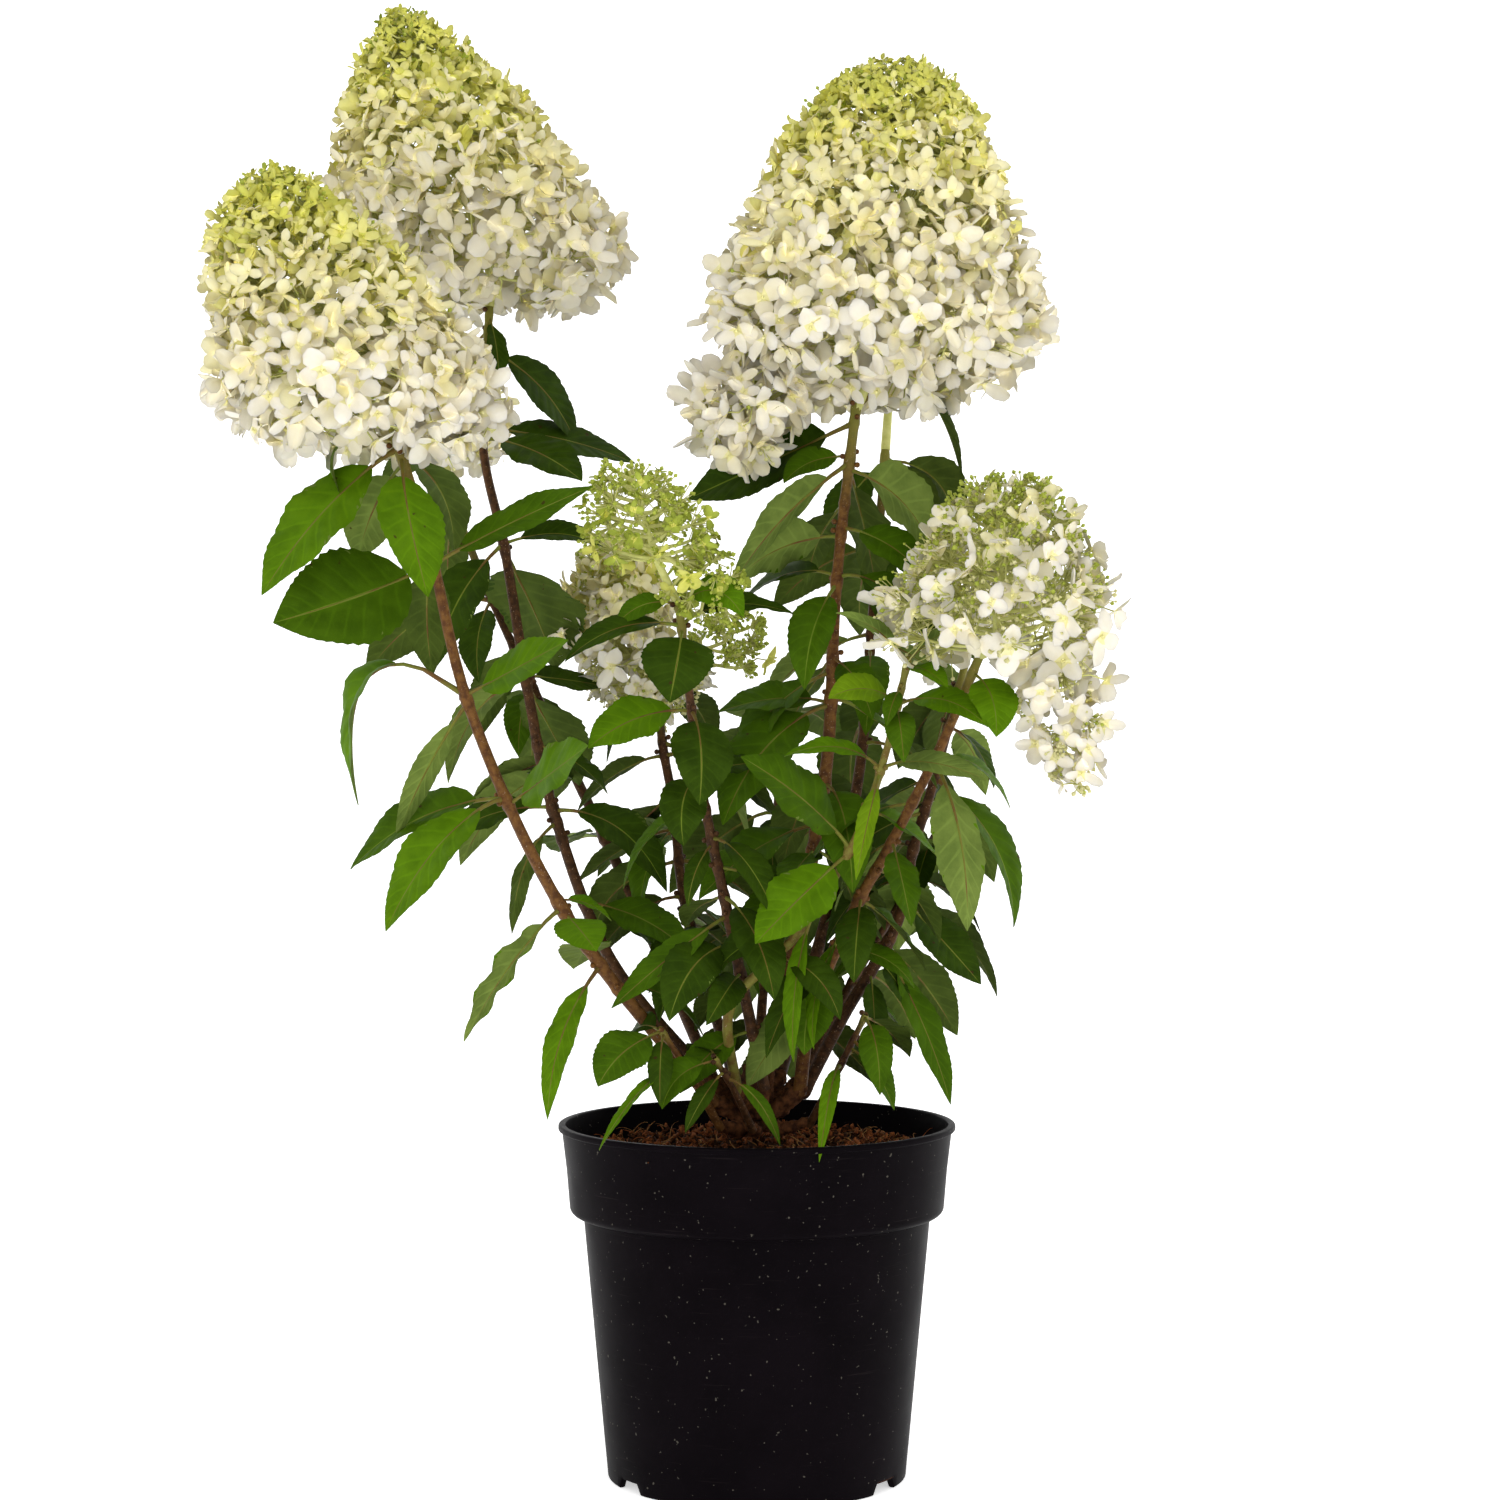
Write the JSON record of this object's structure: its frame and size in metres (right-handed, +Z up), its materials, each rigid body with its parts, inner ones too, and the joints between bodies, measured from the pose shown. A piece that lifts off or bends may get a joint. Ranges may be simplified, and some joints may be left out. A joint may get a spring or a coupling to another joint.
{
  "type": "potted hydrangea shrub",
  "caption": "Leafy garden hydrangea with cone-shaped cream blooms on upright stems, growing in a round black nursery pot.",
  "frame": {"origin": "centre of the pot's flat underside, where the plant stands", "axes": "+Z up; -Y is the front, the side that the picture shows; +X to the right seen from the front"},
  "size_m": [0.4967, 0.4038, 0.8675],
  "materials": {
    "pot": "satin",
    "compost": "matte",
    "wood": "matte",
    "stem": "matte",
    "leaf": "satin",
    "bloom": "matte"
  },
  "bodies": {
    "root": {"bloom_centre_green": "bloom", "bloom_centre_rear": "bloom", "bloom_far_right": "bloom", "bloom_left": "bloom", "bloom_left_rear": "bloom", "bloom_right": "bloom", "bloom_right_rear": "bloom", "bloom_side_rear": "bloom", "bloom_upper_left": "bloom", "bough_centre_back": "stem", "bough_centre_front": "stem", "bough_far_left": "stem", "bough_far_middle": "stem", "bough_far_right": "stem", "bough_left_back": "stem", "bough_left_front": "stem", "bough_middle": "stem", "bough_middle_back": "stem", "bough_right_back": "stem", "bough_right_front": "stem", "bough_young_green": "stem", "compost": "compost", "crown": "wood", "leaves_basal_back": "leaf", "leaves_basal_front": "leaf", "leaves_basal_left": "leaf", "leaves_basal_right": "leaf", "leaves_centre_back": "leaf", "leaves_centre_front": "leaf", "leaves_far_left": "leaf", "leaves_far_middle": "leaf", "leaves_far_right": "leaf", "leaves_left_back": "leaf", "leaves_left_front": "leaf", "leaves_middle": "leaf", "leaves_middle_back": "leaf", "leaves_right_back": "leaf", "leaves_right_front": "leaf", "leaves_young_green": "leaf", "pot": "pot"}
  },
  "joints": []
}
